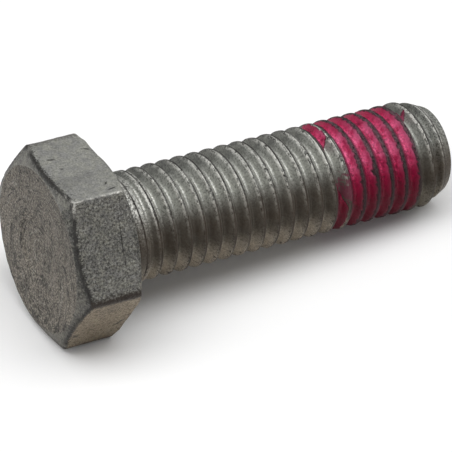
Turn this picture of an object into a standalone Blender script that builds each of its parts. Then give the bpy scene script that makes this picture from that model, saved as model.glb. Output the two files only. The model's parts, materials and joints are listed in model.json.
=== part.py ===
"""Hexagon-head screw with a full-length coarse thread and a dried locking patch near its point.

The screw lies on one flat of its head and on the last full crest of its thread.
Each piece is modelled along its own axis: Z runs from the head to the point, the bearing face
under the head is at Z = 0, and X is the normal of the flat that ends up on top. A parent empty
then lays the whole screw down. Lengths are in metres and angles in degrees.
"""

import math

import bmesh
import bpy
from mathutils import Matrix, Vector

# Shank and thread
CREST_DIAMETER = 0.01185
PITCH = 0.00175
FLANK_ANGLE = 60.0
CREST_FLAT = 0.00022
THREAD_DEPTH = 0.00108
ROOT_WIDTH = 0.00036
ROOT_SAG = 0.00006
THREAD_PHASE = 207.0
SHANK_LENGTH = 0.040

# Point
POINT_STEP = 0.00026
POINT_LENGTH = 0.0027

# Neck under the head
NECK_RELIEF = 0.00008
NECK_LENGTH = 0.0008
CREST_RISE = 0.0009
RUN_OUT_LENGTH = 0.0023
RUN_OUT_SINK = 0.00002
FILLET_RADIUS = 0.0006

# Head
HEAD_WIDTH = 0.0190
HEAD_HEIGHT = 0.0075
HEAD_FACE_INSET = 0.00055
HEAD_CHAMFER_ANGLE = 24.0
RIDGE_RADIUS = 0.0008
CORNER_RELIEF_START = 0.0007
CORNER_RELIEF_ANGLE = 26.0
WASHER_FACE_INSET = 0.0006
WASHER_FACE_HEIGHT = 0.0007
DISH_DIAMETER = 0.0082
DISH_DEPTH = 0.00022
DISH_WALL = 0.0005

# Locking patch, a film dried into the thread's groove
PATCH_START = 0.02536
PATCH_LENGTH = 0.01067
PATCH_THICKNESS = 0.00014
PATCH_ROOT_FILL = 0.00016
PATCH_CREST_MARGIN = 0.00012
PATCH_CLEARANCE = 0.00002

# Fineness of the round forms
THREAD_STEPS = 30
TURNED_STEPS = 72
FILLET_STEPS = 4
RIDGE_STEPS = 3

# How far helper shapes pass through the faces that they cut or join
OVERRUN = 0.0010
WELD = 0.000002

CREST_RADIUS = CREST_DIAMETER / 2
ROOT_RADIUS = CREST_RADIUS - THREAD_DEPTH
POINT_RADIUS = ROOT_RADIUS - POINT_STEP
NECK_RADIUS = CREST_RADIUS - NECK_RELIEF
FLAT_DISTANCE = HEAD_WIDTH / 2
CORNER_DISTANCE = FLAT_DISTANCE / math.cos(math.radians(30))
WASHER_FACE_RADIUS = FLAT_DISTANCE - WASHER_FACE_INSET
HEAD_FACE_RADIUS = FLAT_DISTANCE - HEAD_FACE_INSET
FLANK_SLOPE = math.tan(math.radians(FLANK_ANGLE / 2))


def finish(name, colour, roughness, metallic):
    """A Principled material of one colour, given as linear red, green and blue."""
    material = bpy.data.materials.new(name)
    material.use_nodes = True
    shader = material.node_tree.nodes["Principled BSDF"]
    shader.inputs["Base Color"].default_value = (*colour, 1.0)
    shader.inputs["Roughness"].default_value = roughness
    shader.inputs["Metallic"].default_value = metallic
    material.diffuse_color = (*colour, 1.0)
    return material


def new_object(name, bm, collection):
    """A mesh object made from a bmesh, linked to the collection."""
    mesh = bpy.data.meshes.new(name)
    bm.to_mesh(mesh)
    bm.free()
    made = bpy.data.objects.new(name, mesh)
    collection.objects.link(made)
    return made


def as_helper(obj):
    """Keeps a cutter or a joined form out of the finished part."""
    obj.hide_render = True
    obj.display_type = "WIRE"
    return obj


def turned(name, outline, steps, collection):
    """A solid of revolution about Z, from an outline of (radius, height) that starts and ends on Z."""
    bm = bmesh.new()
    points = [bm.verts.new((radius, 0.0, height)) for radius, height in outline]
    for start, end in zip(points, points[1:]):
        bm.edges.new((start, end))
    made = new_object(name, bm, collection)
    screw = made.modifiers.new("turn", "SCREW")
    screw.axis = "Z"
    screw.angle = math.tau
    screw.steps = steps
    screw.render_steps = steps
    screw.use_merge_vertices = True
    screw.merge_threshold = WELD
    return made


def boolean(target, tool, operation):
    """Adds an exact Boolean of the tool to the target."""
    modifier = target.modifiers.new(f"{operation.lower()} {tool.name}", "BOOLEAN")
    modifier.operation = operation
    modifier.object = tool
    modifier.solver = "EXACT"


def arc(centre, radius, start, end, steps):
    """Points (radius, height) on an arc in the profile plane, with both ends."""
    angles = [math.radians(start + (end - start) * i / steps) for i in range(steps + 1)]
    return [(centre[0] + radius * math.cos(a), centre[1] + radius * math.sin(a)) for a in angles]


def hexagon_bar(collection):
    """The head's six flats, with rounded ridges between them."""
    bm = bmesh.new()
    bmesh.ops.create_cone(
        bm,
        cap_ends=True,
        segments=6,
        radius1=CORNER_DISTANCE,
        radius2=CORNER_DISTANCE,
        depth=HEAD_HEIGHT + 2 * OVERRUN,
    )
    bmesh.ops.translate(bm, verts=bm.verts, vec=(0, 0, -HEAD_HEIGHT / 2))
    ridges = [e for e in bm.edges if abs(e.verts[0].co.z - e.verts[1].co.z) > HEAD_HEIGHT]
    bmesh.ops.bevel(
        bm,
        geom=ridges,
        offset=RIDGE_RADIUS * math.tan(math.radians(30)),
        segments=RIDGE_STEPS,
        profile=0.5,
        affect="EDGES",
    )
    return new_object("screw", bm, collection)


def head_form(collection):
    """The turned form that trims the hexagon: chamfered, dished on top and relieved at the corners."""
    outer = CORNER_DISTANCE + OVERRUN
    relief_start = FLAT_DISTANCE + CORNER_RELIEF_START
    relief = (outer - relief_start) * math.tan(math.radians(CORNER_RELIEF_ANGLE))
    chamfer = (outer - HEAD_FACE_RADIUS) * math.tan(math.radians(HEAD_CHAMFER_ANGLE))
    seat = -WASHER_FACE_HEIGHT
    top = -HEAD_HEIGHT
    outline = [
        (0.0, seat),
        (relief_start, seat),
        (outer, seat - relief),
        (outer, top + chamfer),
        (HEAD_FACE_RADIUS, top),
        (DISH_DIAMETER / 2, top),
        (DISH_DIAMETER / 2 - DISH_WALL, top + DISH_DEPTH),
        (0.0, top + DISH_DEPTH),
    ]
    return as_helper(turned("head_form", outline, TURNED_STEPS, collection))


def collar(collection):
    """Washer face, fillet and neck, with the cone that the thread's groove runs out on."""
    run_out_end = NECK_LENGTH + RUN_OUT_LENGTH
    fillet_centre = (NECK_RADIUS + FILLET_RADIUS, FILLET_RADIUS)
    outline = [
        (0.0, run_out_end),
        (ROOT_RADIUS - RUN_OUT_SINK, run_out_end),
        (NECK_RADIUS, max(NECK_LENGTH, FILLET_RADIUS + WELD)),
        *arc(fillet_centre, FILLET_RADIUS, 180, 270, FILLET_STEPS),
        (WASHER_FACE_RADIUS, 0.0),
        (WASHER_FACE_RADIUS, -WASHER_FACE_HEIGHT - OVERRUN),
        (0.0, -WASHER_FACE_HEIGHT - OVERRUN),
    ]
    return as_helper(turned("collar", outline, THREAD_STEPS, collection))


def groove_outline():
    """One pitch of the thread as (radius, height), from one crest's edge to the next crest's edge."""
    crest_edge = (PITCH - CREST_FLAT) / 2
    flank_drop = (crest_edge - ROOT_WIDTH / 2) / FLANK_SLOPE
    corner = CREST_RADIUS - flank_drop
    return [
        (CREST_RADIUS, -crest_edge),
        (corner, -ROOT_WIDTH / 2),
        (corner - ROOT_SAG, 0.0),
        (corner, ROOT_WIDTH / 2),
        (CREST_RADIUS, crest_edge),
        (CREST_RADIUS, crest_edge + CREST_FLAT),
    ]


def wound(outline, closed, first_step, steps):
    """The outline swept along the thread's helix, with steps counted from the plane of the top flat."""
    bm = bmesh.new()
    start = PITCH * (first_step / THREAD_STEPS + THREAD_PHASE / 360)
    points = [bm.verts.new((radius, 0.0, height + start)) for radius, height in outline]
    edges = [bm.edges.new(pair) for pair in zip(points, points[1:])]
    if closed:
        edges.append(bm.edges.new((points[-1], points[0])))
    bmesh.ops.rotate(
        bm,
        verts=points,
        matrix=Matrix.Rotation(math.tau * first_step / THREAD_STEPS, 3, "Z"),
    )
    bmesh.ops.spin(
        bm,
        geom=points + edges,
        cent=(0, 0, 0),
        axis=(0, 0, 1),
        dvec=(0, 0, PITCH / THREAD_STEPS),
        angle=math.tau * steps / THREAD_STEPS,
        steps=steps,
    )
    bmesh.ops.remove_doubles(bm, verts=bm.verts, dist=WELD)
    return bm


def capped_on_axis(bm):
    """Closes both open ends of a wound surface with a fan to a point on the axis."""
    rim = {e for e in bm.edges if e.is_boundary}
    middle = sum((v.co.z for v in bm.verts), 0.0) / len(bm.verts)
    for side in (-1, 1):
        loop = [e for e in rim if side * (e.verts[0].co.z - middle) > 0]
        reach = max(side * v.co.z for e in loop for v in e.verts) * side
        spread = bmesh.ops.extrude_edge_only(bm, edges=loop)["geom"]
        tips = [v for v in spread if isinstance(v, bmesh.types.BMVert)]
        bmesh.ops.pointmerge(bm, verts=tips, merge_co=Vector((0, 0, reach)))
    bmesh.ops.recalc_face_normals(bm, faces=bm.faces)
    return bm


def thread(collection):
    """The threaded rod, longer than the shank at both ends."""
    spare = 2
    turns = math.ceil(SHANK_LENGTH / PITCH) + 2 * spare
    surface = wound(groove_outline(), False, -spare * THREAD_STEPS, turns * THREAD_STEPS)
    bm = capped_on_axis(surface)
    return as_helper(new_object("thread", bm, collection))


def thread_limits(collection):
    """The turned form that holds the crests: low at the neck, open along the shank, then the point."""
    open_radius = CREST_RADIUS + OVERRUN
    point_slope = (CREST_RADIUS - POINT_RADIUS) / POINT_LENGTH
    outline = [
        (0.0, SHANK_LENGTH),
        (POINT_RADIUS, SHANK_LENGTH),
        (open_radius, SHANK_LENGTH - (open_radius - POINT_RADIUS) / point_slope),
        (open_radius, NECK_LENGTH + CREST_RISE),
        (NECK_RADIUS - NECK_RELIEF, NECK_LENGTH / 2),
        (NECK_RADIUS - NECK_RELIEF, -HEAD_HEIGHT / 2),
        (0.0, -HEAD_HEIGHT / 2),
    ]
    return as_helper(turned("thread_limits", outline, THREAD_STEPS, collection))


def locking_patch(collection):
    """The film in the groove: it follows both flanks, is thicker in the root and leaves the crests bare."""
    crest_edge = (PITCH - CREST_FLAT) / 2
    half = math.radians(FLANK_ANGLE / 2)
    corner = CREST_RADIUS - (crest_edge - ROOT_WIDTH / 2) / FLANK_SLOPE
    rim = CREST_RADIUS - PATCH_CREST_MARGIN

    def flank_point(radius, offset):
        """A point on the upper flank at this radius, moved off the flank by the offset."""
        height = ROOT_WIDTH / 2 + (radius - corner) * FLANK_SLOPE
        return radius + offset * math.sin(half), height - offset * math.cos(half)

    film = PATCH_CLEARANCE + PATCH_THICKNESS
    foot = corner + PATCH_CLEARANCE
    upper = [
        flank_point(rim, PATCH_CLEARANCE),
        flank_point(rim, film),
        flank_point(corner + PATCH_ROOT_FILL + film, film),
    ]
    outline = [
        (foot, ROOT_WIDTH / 2 - PATCH_CLEARANCE),
        *upper,
        (corner + PATCH_ROOT_FILL + PATCH_CLEARANCE, 0.0),
        *[(radius, -height) for radius, height in reversed(upper)],
        (foot, -ROOT_WIDTH / 2 + PATCH_CLEARANCE),
    ]
    first_step = round((PATCH_START / PITCH - THREAD_PHASE / 360) * THREAD_STEPS)
    bm = wound(outline, True, first_step, round(PATCH_LENGTH / PITCH * THREAD_STEPS))
    bmesh.ops.holes_fill(bm, edges=[e for e in bm.edges if e.is_boundary])
    bmesh.ops.recalc_face_normals(bm, faces=bm.faces)
    return new_object("locking_patch", bm, collection)


def evaluated_points(obj):
    """The object's corners with its modifiers, in its own axes."""
    graph = bpy.context.evaluated_depsgraph_get()
    shape = obj.evaluated_get(graph)
    mesh = shape.to_mesh()
    points = [v.co.copy() for v in mesh.vertices]
    shape.to_mesh_clear()
    return points


def lying_down(points):
    """The matrix that lays the screw on a head flat and a crest, centred over the origin."""
    flat = [p for p in points if -p.x > FLAT_DISTANCE - WELD]
    edge = max(p.z for p in flat)
    ahead = [p for p in points if p.z > edge + FILLET_RADIUS]
    tilt = min(math.atan2(FLAT_DISTANCE + p.x, p.z - edge) for p in ahead)
    # Z of the screw turns to the world's X and dips by the tilt, and X of the screw turns upwards
    axis = Vector((math.cos(tilt), 0.0, -math.sin(tilt)))
    up = Vector((math.sin(tilt), 0.0, math.cos(tilt)))
    turn = Matrix((up, axis.cross(up), axis)).transposed()
    laid = [turn @ p for p in points]
    shift = Vector(
        (
            -(min(p.x for p in laid) + max(p.x for p in laid)) / 2,
            -(min(p.y for p in laid) + max(p.y for p in laid)) / 2,
            -min(p.z for p in laid),
        )
    )
    return Matrix.Translation(shift) @ turn.to_4x4()


def shade(obj):
    """Smooth shading with sharp edges kept."""
    obj.data.shade_smooth()
    obj.data.set_sharp_from_angle(angle=math.radians(35))


def main():
    """Builds the two pieces and lays them down together."""
    for old in list(bpy.data.objects):
        bpy.data.objects.remove(old)
    part = bpy.data.collections.new("hex_screw")
    forms = bpy.data.collections.new("forms")
    bpy.context.scene.collection.children.link(part)
    bpy.context.scene.collection.children.link(forms)

    shank = thread(forms)
    boolean(shank, thread_limits(forms), "INTERSECT")
    screw = hexagon_bar(part)
    boolean(screw, head_form(forms), "INTERSECT")
    boolean(screw, collar(forms), "UNION")
    boolean(screw, shank, "UNION")
    screw.data.materials.append(finish("zinc_flake_coat", (0.145, 0.150, 0.138), 0.52, 0.75))

    patch = locking_patch(part)
    patch.data.materials.append(finish("locking_film", (0.420, 0.018, 0.085), 0.55, 0.0))
    for piece in (screw, patch):
        shade(piece)

    frame = bpy.data.objects.new("screw_axis", None)
    for piece in (*part.objects, *forms.objects):
        piece.parent = frame
    part.objects.link(frame)
    bpy.context.view_layer.update()
    frame.matrix_world = lying_down(evaluated_points(screw))
    bpy.context.view_layer.update()


main()
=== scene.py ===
"""Looks of a coated hexagon-head screw that lies on one flat of its head and on its thread.

The forged head, the rolled thread and the dried locking film are built in millimetres along the
screw's own axes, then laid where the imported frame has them: Z runs from the head to the point,
the bearing face under the head is at Z = 0, and X is the normal of the flat on top. Angles
around the shank are counted in turns from that flat, towards the camera's side.
"""

import json
import logging
import math
from collections.abc import Sequence
from dataclasses import dataclass
from enum import Enum
from typing import Any

import bmesh
import bpy
import numpy as np
from mathutils import Euler, Matrix, Vector, noise

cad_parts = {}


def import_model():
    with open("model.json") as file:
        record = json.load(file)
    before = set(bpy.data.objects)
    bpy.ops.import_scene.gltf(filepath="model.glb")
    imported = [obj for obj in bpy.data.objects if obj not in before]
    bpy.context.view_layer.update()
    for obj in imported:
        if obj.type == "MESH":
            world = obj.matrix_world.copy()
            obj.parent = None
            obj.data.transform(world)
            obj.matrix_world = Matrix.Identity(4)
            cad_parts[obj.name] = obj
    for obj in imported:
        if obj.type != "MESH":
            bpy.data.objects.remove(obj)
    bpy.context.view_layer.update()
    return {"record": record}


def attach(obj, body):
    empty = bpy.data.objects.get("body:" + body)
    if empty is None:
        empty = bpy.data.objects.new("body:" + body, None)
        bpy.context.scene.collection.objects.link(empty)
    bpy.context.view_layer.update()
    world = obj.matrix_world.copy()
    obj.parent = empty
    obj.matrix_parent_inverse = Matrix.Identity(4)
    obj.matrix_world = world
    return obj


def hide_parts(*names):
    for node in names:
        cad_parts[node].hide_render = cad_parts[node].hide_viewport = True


log = logging.getLogger("coated_screw")

MM = 0.001

# Corners closer than this many millimetres are one
WELD = 0.0005
# Radius of the plain cylinder that the places noted on the shank lie on
SPOT_RADIUS = 5.4
HEAD_NOTES = ("ridge", "rim", "grainy", "wear_and_highlight", "soot_and_shade")

# The kinds of node that are used most
MATH = "ShaderNodeMath"
VECTOR = "ShaderNodeVectorMath"
RANGE = "ShaderNodeMapRange"
NOISE = "ShaderNodeTexNoise"
MIX = "ShaderNodeMix"


def linear(code: str) -> tuple[float, float, float, float]:
    """Turns an sRGB hex colour into linear light.

    Args:
        code: The colour as "#rrggbb".

    Returns:
        Linear red, green and blue, with an alpha of 1.
    """
    parts = [int(code[i : i + 2], 16) / 255 for i in (1, 3, 5)]
    red, green, blue = (c / 12.92 if c <= 0.04045 else ((c + 0.055) / 1.055) ** 2.4 for c in parts)
    return red, green, blue, 1.0


def add(
    tree: bpy.types.NodeTree,
    kind: str,
    *inputs: Any,
    named: dict[str, Any] | None = None,
    out: int | str = 0,
    **settings: Any,
) -> bpy.types.NodeSocket:
    """Adds one node with its settings and links.

    Args:
        tree: The node tree that gets the node.
        kind: The node's type name.
        inputs: Values or sockets for the node's inputs in order, None to leave one as it is.
        named: Values or sockets for inputs by name.
        out: Which output to return, by its place or its name.
        settings: The node's properties.

    Returns:
        The chosen output socket.
    """
    node = tree.nodes.new(kind)
    for key, value in settings.items():
        setattr(node, key, value)
    sockets = [s for s in node.inputs if s.enabled]
    pairs = [*zip(sockets, inputs), *((node.inputs[key], value) for key, value in (named or {}).items())]
    for socket, value in pairs:
        if isinstance(value, bpy.types.NodeSocket):
            tree.links.new(value, socket)
        elif value is not None:
            socket.default_value = value
    if not node.outputs:
        return node.inputs[0]
    return node.outputs[out] if isinstance(out, str) else [s for s in node.outputs if s.enabled][out]


def way_at(degrees: float, radius: float = 1.0) -> Vector:
    """Gives a direction around the screw.

    Args:
        degrees: The direction's turn from the top flat.
        radius: The distance in that direction that counts as 1.

    Returns:
        The direction.
    """
    return Vector((math.cos(math.radians(degrees)), math.sin(math.radians(degrees)), 0.0)) / radius


def blank_material(name: str) -> tuple[bpy.types.Material, bpy.types.NodeTree]:
    """Starts a material.

    Args:
        name: Its name.

    Returns:
        The material and its empty node tree.
    """
    made = bpy.data.materials.new(name)
    made.use_nodes = True
    made.node_tree.nodes.clear()
    return made, made.node_tree


@dataclass(frozen=True)
class ScrewAxes:
    """Where the screw's own axes lie in the frame.

    Attributes:
        origin: Centre of the bearing face, in metres.
        up: Normal of the flat on top.
        along: From the head to the point.
    """

    origin: Vector
    up: Vector
    along: Vector

    @classmethod
    def from_record(cls, record: dict[str, Any]) -> "ScrewAxes":
        """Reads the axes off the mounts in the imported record.

        Args:
            record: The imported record.

        Returns:
            The screw's axes.
        """
        mounts = {mount["name"]: mount for mount in record["mounts"]}
        upper, lower = (Vector(mounts[f"{side}_wrench_flat"]["pos_m"]) for side in ("upper", "lower"))
        along = Vector(mounts["bearing_face"]["axis"]).normalized()
        middle = (upper + lower) / 2
        middle.y = 0.0
        seat = Vector(mounts["bearing_face"]["pos_m"])
        origin = middle + along * (seat - middle).dot(along)
        return cls(origin, Vector(mounts["upper_wrench_flat"]["axis"]).normalized(), along)

    def laid(self) -> Matrix:
        """Returns the matrix from millimetres along the screw to metres in the frame."""
        turn = Matrix((self.up, self.along.cross(self.up), self.along)).transposed()
        return Matrix.Translation(self.origin) @ turn.to_4x4() @ Matrix.Scale(MM, 4)


@dataclass(frozen=True)
class ThreadSizes:
    """Sizes of the rolled thread, in millimetres, its start, run-out and point fitted to the photograph.

    Attributes:
        pitch: From crest to crest.
        crest_radius: Radius of the crests.
        depth: From crest to root.
        crest_half: Half the width of the flat that the flanks start from.
        start: Turns by which the groove at Z = 0 lies round from the top flat.
        length: From the bearing face to the point's end.
        neck_radius: Radius of the plain neck.
        neck_length: Length of the plain neck.
        run_out_slope: Rise of the groove's depth for each millimetre away from the neck.
        fillet: Radius of the fillet under the head.
        point_radius: Radius at the point's end.
        point_length: Length of the point's chamfer.
        back: Turn at which the mesh's seam runs, on the side away from the camera.
    """

    pitch: float = 1.75
    crest_radius: float = 5.925
    depth: float = 1.075
    crest_half: float = 0.11
    start: float = 186 / 360
    length: float = 40.0
    neck_radius: float = 5.845
    neck_length: float = 1.5
    run_out_slope: float = 0.36
    fillet: float = 0.6
    point_radius: float = 4.72
    point_length: float = 2.7
    back: float = -129 / 360


class Side(Enum):
    """Side of the film's sleeve, with how many rows of faces a pitch gets there."""

    OUTER = 36
    INNER = 14


def open_tree(
    name: str, wanted: dict[str, str], made: dict[str, str]
) -> tuple[bpy.types.NodeTree, bpy.types.Node]:
    """Starts a Geometry Nodes tree.

    Args:
        name: The tree's name.
        wanted: Its inputs, each name with its socket type.
        made: Its outputs, each name with its socket type.

    Returns:
        The tree and its group input node.
    """
    tree = bpy.data.node_groups.new(name, "GeometryNodeTree")
    for way, sockets in (("INPUT", wanted), ("OUTPUT", made)):
        for key, kind in sockets.items():
            tree.interface.new_socket(name=key, in_out=way, socket_type=f"NodeSocket{kind}")
    return tree, tree.nodes.new("NodeGroupInput")


def point_at(
    tree: bpy.types.NodeTree,
    turn: bpy.types.NodeSocket,
    radius: bpy.types.NodeSocket,
    height: bpy.types.NodeSocket,
) -> bpy.types.NodeSocket:
    """Adds the point at a turn, a radius and a height.

    Args:
        tree: The tree.
        turn: Turns from the top flat.
        radius: Distance from the axis.
        height: Height along the screw.

    Returns:
        The point.
    """
    around = add(tree, MATH, turn, math.tau, operation="MULTIPLY")
    x, y = (add(tree, MATH, around, operation=wave) for wave in ("COSINE", "SINE"))
    out_x, out_y = (add(tree, MATH, side, radius, operation="MULTIPLY") for side in (x, y))
    return add(tree, "ShaderNodeCombineXYZ", out_x, out_y, height)


def sealed(tree: bpy.types.NodeTree, mesh: bpy.types.NodeSocket, finish: bpy.types.NodeSocket) -> None:
    """Ends a tree: welds and smooths the mesh, gives it its finish and hands it out.

    Args:
        tree: The tree.
        mesh: The mesh.
        finish: Its finish.
    """
    closed = add(tree, "GeometryNodeMergeByDistance", mesh, None, WELD)
    smooth = add(tree, "GeometryNodeSetShadeSmooth", closed)
    real = add(tree, "GeometryNodeRealizeInstances", smooth)
    add(tree, "NodeGroupOutput", add(tree, "GeometryNodeSetMaterial", real, None, finish))


def grown(name: str, tree: bpy.types.NodeTree, sizes: dict[str, Any]) -> bpy.types.Object:
    """Runs a Geometry Nodes tree once and keeps what it makes as a plain mesh.

    Args:
        name: Name of the new object.
        tree: The tree to run.
        sizes: A value for each of the tree's inputs, by name.

    Returns:
        The new object, with no modifier left on it.
    """
    holder = bpy.data.objects.new(name, bpy.data.meshes.new(name))
    bpy.context.scene.collection.objects.link(holder)
    modifier = holder.modifiers.new(name, "NODES")
    modifier.node_group = tree
    for item in tree.interface.items_tree:
        if item.item_type == "SOCKET" and item.in_out == "INPUT":
            modifier[item.identifier] = sizes[item.name]
    graph = bpy.context.evaluated_depsgraph_get()
    mesh = bpy.data.meshes.new_from_object(
        holder.evaluated_get(graph), preserve_all_data_layers=True, depsgraph=graph
    )
    holder.modifiers.clear()
    empty, holder.data = holder.data, mesh
    bpy.data.meshes.remove(empty)
    mesh.name = name
    return holder


def seated(piece: bpy.types.Object, axes: ScrewAxes, node: str) -> bpy.types.Object:
    """Lays a piece in the frame and lets it stand for its CAD node.

    Args:
        piece: The piece, in millimetres along the screw.
        axes: The screw's axes.
        node: The CAD node that it replaces.

    Returns:
        The same piece.
    """
    piece.data.transform(axes.laid())
    piece.data.update()
    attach(piece, "root")
    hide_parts(node)
    log.info("%s: %d faces, in place of %s", piece.name, len(piece.data.polygons), node)
    return piece


class ThreadForm:
    """Node group that gives the thread's surface at any turn and height, shared by steel and film."""

    def __init__(self, sizes: ThreadSizes) -> None:
        """Keeps the thread's sizes."""
        self.sizes = sizes

    def group(self) -> bpy.types.NodeTree:
        """Builds the group.

        Returns:
            A group with Turn, Height, Pitch, Crest Radius, Depth, Length and Seed going in, and
            Radius, Crest Distance, Groove Turn, Across, Level, Lay, Spot and Skin coming out. Spot
            is the place on a plain cylinder, Skin the place on the thread itself.
        """
        s = self.sizes
        floats = ("Turn", "Height", "Pitch", "Crest Radius", "Depth", "Length", "Seed")
        given = {key: "Float" for key in ("Radius", "Crest Distance", "Groove Turn", "Across", "Level")}
        given |= {key: "Vector" for key in ("Lay", "Spot", "Skin")}
        tree, wanted = open_tree("thread_form", {key: "Float" for key in floats}, given)
        turn, height, pitch, crest, depth, length, seed = (wanted.outputs[key] for key in floats)

        lead = add(tree, MATH, height, pitch, operation="DIVIDE")
        ahead = add(tree, MATH, lead, turn, operation="SUBTRACT")
        phase = add(tree, MATH, ahead, s.start, operation="SUBTRACT")
        half = add(tree, MATH, phase, 0.5, operation="ADD")
        off = add(tree, MATH, half, 0.5, operation="PINGPONG")
        distance = add(tree, MATH, off, pitch, operation="MULTIPLY")

        around = add(tree, MATH, turn, math.tau, operation="MULTIPLY")
        cosine = add(tree, MATH, around, operation="COSINE")
        sine = add(tree, MATH, around, operation="SINE")
        ring = add(tree, "ShaderNodeCombineXYZ", cosine, sine, 0.0)
        ringed = add(tree, VECTOR, ring, (SPOT_RADIUS, SPOT_RADIUS, 0.0), operation="MULTIPLY")
        risen = add(tree, "ShaderNodeCombineXYZ", 0.0, 0.0, height)
        spot = add(tree, VECTOR, ringed, risen, operation="ADD")
        swell = add(tree, NOISE, spot, seed, 0.45, 2.0, 0.5, noise_dimensions="4D")
        chips = add(tree, NOISE, spot, seed, 1.35, 3.0, 0.6, noise_dimensions="4D")
        waver = add(tree, NOISE, spot, seed, 0.8, 2.0, 0.5, noise_dimensions="4D")

        inside = add(tree, MATH, distance, s.crest_half, operation="SUBTRACT")
        flank = add(tree, MATH, inside, math.sqrt(3), operation="MULTIPLY")
        reach = 20.0
        run_out = add(
            tree, RANGE, height, s.neck_length, s.neck_length + reach, 0.0, reach * s.run_out_slope
        )
        pressed = add(tree, MATH, depth, run_out, 0.12, operation="SMOOTH_MIN")
        short = add(tree, MATH, depth, pressed, operation="SUBTRACT")
        narrowed = add(tree, MATH, flank, short, operation="SUBTRACT")
        crowned = add(tree, MATH, narrowed, 0.0, 0.16, operation="SMOOTH_MAX")
        cut = add(tree, MATH, crowned, pressed, 0.48, operation="SMOOTH_MIN")

        # Where the groove runs out, its bottom and the lands beside it lie level
        land = add(tree, RANGE, narrowed, 0.0, 0.20, 1.0, 0.0)
        over = add(tree, MATH, narrowed, pressed, operation="SUBTRACT")
        bottom = add(tree, RANGE, over, -0.10, 0.10, 0.0, 1.0)
        either = add(tree, MATH, land, bottom, operation="MAXIMUM")
        running_out = add(tree, RANGE, height, 4.2, 5.4, 1.0, 0.0)
        even = add(tree, MATH, either, running_out, operation="MULTIPLY")

        seam_line = add(
            tree, RANGE, distance, 0.0, 0.085, 1.0, 0.0, interpolation_type="SMOOTHSTEP"
        )
        seam_depth = add(tree, RANGE, waver, 0.40, 0.62, 0.015, 0.075)
        seam = add(tree, MATH, seam_line, seam_depth, operation="MULTIPLY")
        chip_depth = add(tree, RANGE, chips, 0.60, 0.74, 0.0, 0.11)
        chip_reach = add(tree, RANGE, distance, 0.10, 0.36, 1.0, 0.0)
        chip = add(tree, MATH, chip_depth, chip_reach, operation="MULTIPLY")

        low_crest = add(tree, MATH, crest, s.crest_radius - s.neck_radius, operation="SUBTRACT")
        outside = add(
            tree, RANGE, height, 0.9, 1.9, low_crest, crest, interpolation_type="SMOOTHSTEP"
        )
        swollen = add(tree, MATH, swell, 0.035, outside, operation="MULTIPLY_ADD")
        levelled = add(tree, MATH, swollen, 0.0175, operation="SUBTRACT")
        grooved = add(tree, MATH, levelled, cut, operation="SUBTRACT")
        seamed = add(tree, MATH, grooved, seam, operation="SUBTRACT")
        chipped = add(tree, MATH, seamed, chip, operation="SUBTRACT")

        left = add(tree, MATH, length, height, operation="SUBTRACT")
        slope = (s.crest_radius - s.point_radius) / s.point_length
        cone = add(tree, MATH, left, slope, s.point_radius, operation="MULTIPLY_ADD")
        pointed = add(tree, MATH, chipped, cone, 0.14, operation="SMOOTH_MIN")
        rim = 0.22
        near_end = add(tree, RANGE, left, 0.0, rim, rim, 0.0)
        rounding = add(tree, MATH, near_end, near_end, operation="MULTIPLY")
        rounded = add(tree, MATH, rounding, -1 / rim * 0.7, pointed, operation="MULTIPLY_ADD")
        near_head = add(tree, RANGE, height, 0.0, s.fillet, s.fillet, 0.0)
        squared = add(tree, MATH, near_head, near_head, operation="MULTIPLY")
        under = add(tree, MATH, s.fillet**2 + 1e-6, squared, operation="SUBTRACT")
        level = add(tree, MATH, under, operation="SQRT")
        flare = add(tree, MATH, s.fillet, level, operation="SUBTRACT")
        radius = add(tree, MATH, rounded, flare, operation="ADD")

        groove = add(tree, MATH, phase, operation="ROUND")
        groove_turn = add(tree, MATH, groove, turn, operation="ADD")
        wave = add(tree, MATH, phase, math.tau, operation="MULTIPLY")
        wave_x = add(tree, MATH, wave, operation="COSINE")
        wave_y = add(tree, MATH, wave, operation="SINE")
        lay = add(tree, "ShaderNodeCombineXYZ", wave_x, wave_y, lead)
        across = add(tree, MATH, phase, groove, operation="SUBTRACT")
        out_ring = add(tree, VECTOR, ring, None, operation="SCALE", named={"Scale": radius})
        skin = add(tree, VECTOR, out_ring, risen, operation="ADD")
        add(tree, "NodeGroupOutput", radius, distance, groove_turn, across, even, lay, spot, skin)
        return tree


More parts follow.
